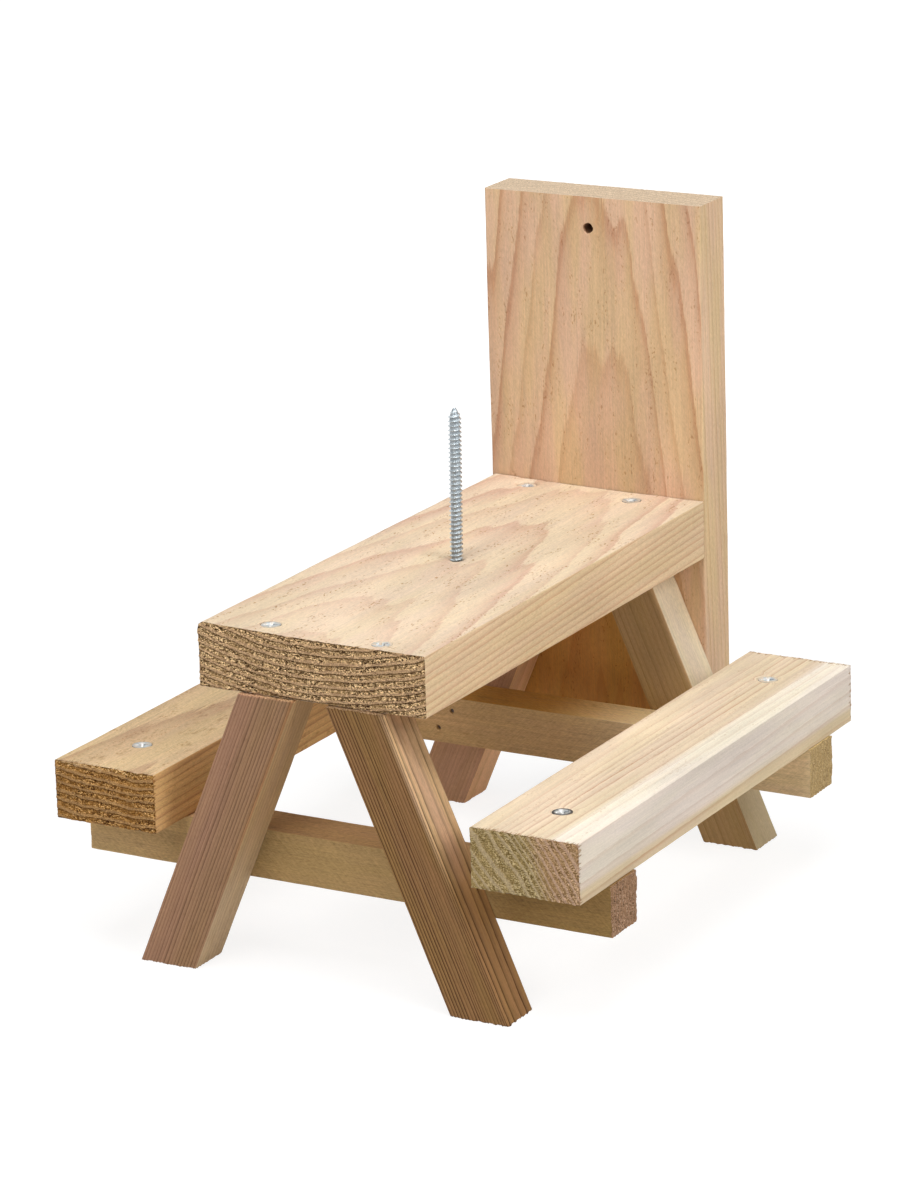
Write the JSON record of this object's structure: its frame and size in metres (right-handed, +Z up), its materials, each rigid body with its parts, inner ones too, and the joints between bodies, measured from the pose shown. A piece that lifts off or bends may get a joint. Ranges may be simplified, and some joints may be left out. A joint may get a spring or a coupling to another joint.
{
  "type": "squirrel feeder table",
  "caption": "Small wooden picnic table with side benches, an upright back board with a fixing hole, and a threaded spike on the top that holds a corn cob for squirrels.",
  "frame": {"origin": "on the floor, at the centre of the whole feeder's footprint", "axes": "+Z up, +Y towards the back board, +X to the right of someone who faces the table's front end"},
  "size_m": [0.208, 0.2302, 0.236],
  "materials": {
    "cedar_pale": "bare rough-sawn cedar",
    "cedar_pink": "bare rough-sawn cedar",
    "cedar_tan": "bare rough-sawn cedar",
    "cedar_sapwood": "bare rough-sawn cedar",
    "cedar_leg": "bare rough-sawn cedar",
    "cedar_stretcher": "bare rough-sawn cedar",
    "zinc_plated_steel": "bright zinc plating",
    "nail_steel": "bare drawn wire"
  },
  "bodies": {
    "root": {"table_top": "cedar_pale", "back_board": "cedar_pink", "bench_left": "cedar_tan", "bench_right": "cedar_sapwood", "leg_front_left": "cedar_leg", "leg_front_right": "cedar_leg", "leg_rear_left": "cedar_leg", "leg_rear_right": "cedar_leg", "stretcher_front": "cedar_stretcher", "stretcher_rear": "cedar_stretcher", "top_screws_front": "zinc_plated_steel", "top_screws_rear": "zinc_plated_steel", "bench_screws_left": "zinc_plated_steel", "bench_screws_right": "zinc_plated_steel", "back_screws": "zinc_plated_steel", "corn_spike": "zinc_plated_steel", "stretcher_nails_front": "nail_steel", "stretcher_nails_rear": "nail_steel"}
  },
  "joints": []
}
